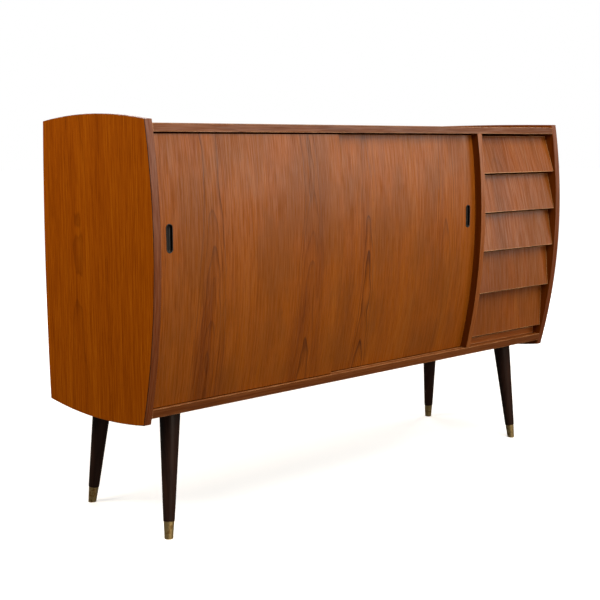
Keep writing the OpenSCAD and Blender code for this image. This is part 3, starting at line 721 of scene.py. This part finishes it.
def buildPull(door):
    low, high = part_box(f"{door}_pull")
    middle = [(a + b) / 2 for a, b in zip(low, high)]
    outerRadius = (high[0] - low[0]) / 2
    rise = (high[2] - low[2]) / 2 - outerRadius     # from the middle to each end's centre
    deep = high[1] - low[1]
    corner = pull["cornerRound"]
    rings = [(pull["backInset"], deep), (pull["rimInset"] + corner, deep),
             (pull["rimInset"], deep - corner), (pull["rimInset"], pull["rimBack"]),
             *pull["section"]]
    steps = pull["halfRound"]
    shape = bmesh.new()
    loops = []
    for inset, depth in rings:
        loop = []
        for end in (0, 1):
            for step in range(steps + 1):
                turn = math.pi * (end + step / steps)
                loop.append(shape.verts.new((
                    middle[0] + (outerRadius - inset) * math.cos(turn), low[1] + depth,
                    middle[2] + (rise, -rise)[end] + (outerRadius - inset) * math.sin(turn))))
        loops.append(loop)
    around = len(loops[0])
    for inner, outer in zip(loops, loops[1:]):
        for i in range(around):
            j = (i + 1) % around
            shape.faces.new((inner[i], inner[j], outer[j], outer[i]))
    shape.faces.new(loops[0])
    shape.faces.new(loops[-1])
    bmesh.ops.recalc_face_normals(shape, faces=shape.faces)
    addPiece(f"{door}_finger_pull", meshFrom(f"{door}FingerPull", shape), "blackPlastic", door,
             f"{door}_pull")


for door in ("front_door", "rear_door"):
    buildPull(door)
print("finger pulls built")

screw = {        # slotted countersunk heads along the edges of the backs
    "headRadius": 0.0035, "headDepth": 0.002, "shankRadius": 0.00175, "shankLength": 0.02,
    "slotHalf": 0.0005, "slotDepth": 0.0011, "dish": 0.0002, "rows": 7, "columns": 8,
    "weld": 0.00001, "seed": 5,
    "gather": 0.012, "placeDigits": 4,     # for telling the CAD heads apart
}


def screwPlaces():
    # one middle per screw, from the CAD heads' own points
    heads = []
    for vertex in cadNodes["back_screws"].data.vertices:
        spot = vertex.co.copy()
        for points in heads:
            if math.hypot(spot.x - points[0].x, spot.z - points[0].z) < screw["gather"]:
                points.append(spot)
                break
        else:
            heads.append([spot])
    digits = screw["placeDigits"]
    return sorted((round(middleOf([p.x for p in points]), digits), max(p.y for p in points),
                   round(middleOf([p.z for p in points]), digits)) for points in heads)


def screwPattern():
    # one screw at the origin, its head facing +Y: the top is laid in strips across the
    # slot, each strip a row of points along its chord, and the rim is drawn down from it
    shape = bmesh.new()
    radius, half, columns = screw["headRadius"], screw["slotHalf"], screw["columns"]
    outside = [half + (radius - half) * i / columns for i in range(columns + 1)]
    strips = [(-u, 0.0) for u in reversed(outside)]
    strips += [(-half, screw["slotDepth"]), (half, screw["slotDepth"])]
    strips += [(u, 0.0) for u in outside]
    rows = []
    for u, sunk in strips:
        chord = math.sqrt(max(radius ** 2 - u ** 2, 0.0))
        row = []
        for i in range(screw["rows"] + 1):
            v = chord * (2 * i / screw["rows"] - 1)
            dished = screw["dish"] * (u ** 2 + v ** 2) / radius ** 2
            row.append(shape.verts.new((u, -(sunk or dished), v)))
        rows.append(row)
    for first, second in zip(rows, rows[1:]):
        for i in range(screw["rows"]):
            shape.faces.new((first[i], first[i + 1], second[i + 1], second[i]))
    bmesh.ops.remove_doubles(shape, verts=shape.verts, dist=screw["weld"])
    rim = [edge for edge in shape.edges if edge.is_boundary]
    for depth, wide in ((screw["headDepth"], radius), (screw["headDepth"], screw["shankRadius"]),
                        (screw["shankLength"], screw["shankRadius"])):
        drawn = bmesh.ops.extrude_edge_only(shape, edges=rim)["geom"]
        for vertex in drawn:
            if isinstance(vertex, bmesh.types.BMVert):
                outward = Vector((vertex.co.x, 0.0, vertex.co.z)).normalized() * wide
                vertex.co = (outward.x, -depth, outward.z)
        rim = [item for item in drawn if isinstance(item, bmesh.types.BMEdge)]
    bmesh.ops.holes_fill(shape, edges=rim, sides=0)
    bmesh.ops.dissolve_degenerate(shape, dist=screw["weld"], edges=shape.edges)
    bmesh.ops.recalc_face_normals(shape, faces=shape.faces)
    return meshInOrder("screwPattern", shape)


def buildScrews():
    pattern = screwPattern()
    shape = bmesh.new()
    chance = random.Random(screw["seed"])
    for place in screwPlaces():
        before = len(shape.verts)
        shape.from_mesh(pattern)
        shape.verts.ensure_lookup_table()
        own = shape.verts[before:]
        turn = Matrix.Rotation(chance.uniform(0, math.pi), 3, "Y")
        bmesh.ops.rotate(shape, verts=own, cent=(0.0, 0.0, 0.0), matrix=turn)
        bmesh.ops.translate(shape, verts=own, vec=place)
    bpy.data.meshes.remove(pattern)
    addPiece("back_screw_heads", meshFrom("backScrewHeads", shape), "plainBrass", "carcass",
             "back_screws")


buildScrews()
print("screws built")


# studio

backdrop = {"seen": 1.0, "ambient": 0.1}     # the world's strength to the camera and the rest


def bySight(tree, surface, unseen, seen):
    # one shader for camera rays and another for all the others
    mixed = addNode(tree, "ShaderNodeMixShader")
    sight = addNode(tree, "ShaderNodeLightPath").outputs["Is Camera Ray"]
    for source, socket in zip((sight, unseen.outputs[0], seen.outputs[0]), mixed.inputs):
        tree.links.new(source, socket)
    tree.links.new(mixed.outputs[0], surface)


def buildBackdrop():
    world = bpy.data.worlds.new("studioWorld")
    bpy.context.scene.world = world
    tree, surface = startTree(world, "ShaderNodeOutputWorld")
    dim, bright = [feed(tree, addNode(tree, "ShaderNodeBackground"), Color=grey(1.0),
                        Strength=backdrop[key]) for key in ("ambient", "seen")]
    bySight(tree, surface, dim, bright)


floor = {
    "size": 60.0, "tone": 0.8, "roughness": 0.9, "unseenTone": 0.06,
    "lift": 0.45,                # glow under the object, up to 1 far from it
    "fade": (1.6, 4.0),          # where the floor starts and ends to fade into the backdrop
}


def buildFloor():
    half = floor["size"] / 2
    mesh = bpy.data.meshes.new("floor")
    mesh.from_pydata([(-half, -half, 0), (half, -half, 0), (half, half, 0), (-half, half, 0)],
                     [], [(0, 1, 2, 3)])
    material = bpy.data.materials.new("paleFloor")
    mesh.materials.append(material)
    tree, surface = startTree(material, "ShaderNodeOutputMaterial")
    reach = addNode(tree, "ShaderNodeVectorMath", operation="LENGTH")
    tree.links.new(addNode(tree, "ShaderNodeTexCoord").outputs["Object"], reach.inputs[0])
    lift = ease(tree, reach.outputs["Value"], *floor["fade"], floor["lift"], 1.0)
    seen = feed(tree, addNode(tree, "ShaderNodeBsdfPrincipled"), BaseColor=grey(floor["tone"]),
                Roughness=floor["roughness"], EmissionColor=grey(1.0), EmissionStrength=lift)
    unseen = feed(tree, addNode(tree, "ShaderNodeBsdfDiffuse"), Color=grey(floor["unseenTone"]))
    bySight(tree, surface, unseen, seen)
    link("floor", mesh)


lights = {       # place, point aimed at, size, watts, colour
    "topBox": ((-0.3, -2.4, 3.4), (0.0, 0.0, 0.6), (3.2, 2.2), 140.0, "#fffaf0"),
    "rightBox": ((3.2, -3.9, 2.0), (0.0, 0.0, 0.75), (2.6, 1.9), 86.0, "#fff4e6"),
    "lowBox": ((-0.6, -4.6, 0.9), (0.0, 0.0, 0.5), (2.4, 1.0), 50.0, "#fff0dc"),
    "leftBox": ((-2.9, 1.0, 2.9), (-0.8, 0.0, 0.95), (1.8, 1.6), 94.0, "#fff2e0"),
    "sideBox": ((4.0, 0.7, 2.2), (0.8, 0.0, 0.7), (1.8, 1.6), 60.0, "#fff4e6"),
    "backBox": ((0.8, 3.5, 2.8), (0.0, 0.2, 0.7), (2.6, 1.6), 60.0, "#ffffff"),
}


def buildLight(name, place, aim, size, watts, tint):
    lamp = bpy.data.lights.new(name, "AREA")
    lamp.shape = "RECTANGLE"
    lamp.size, lamp.size_y = size
    lamp.energy = watts
    lamp.color = srgb(tint)[:3]
    holder = link(name, lamp)
    holder.visible_camera = False
    holder.location = place
    holder.rotation_euler = (Vector(aim) - Vector(place)).to_track_quat("-Z", "Y").to_euler()


view = {         # metres, radians and millimetres
    "place": (-2.1747, -2.3162, 1.0016), "turn": 0.7267, "tilt": 0.1491,
    "lens": 63.82, "sensor": 36.0,
}


def buildCamera():
    data = bpy.data.cameras.new("studioCamera")
    data.lens = view["lens"]
    data.sensor_width = view["sensor"]
    camera = link("studioCamera", data)
    camera.location = view["place"]
    camera.rotation_euler = (math.pi / 2 - view["tilt"], 0.0, -view["turn"])
    bpy.context.scene.camera = camera
    bpy.context.scene.view_settings.view_transform = "Standard"


buildBackdrop()
buildFloor()
for name, settings in lights.items():
    buildLight(name, *settings)
buildCamera()
print("studio built")
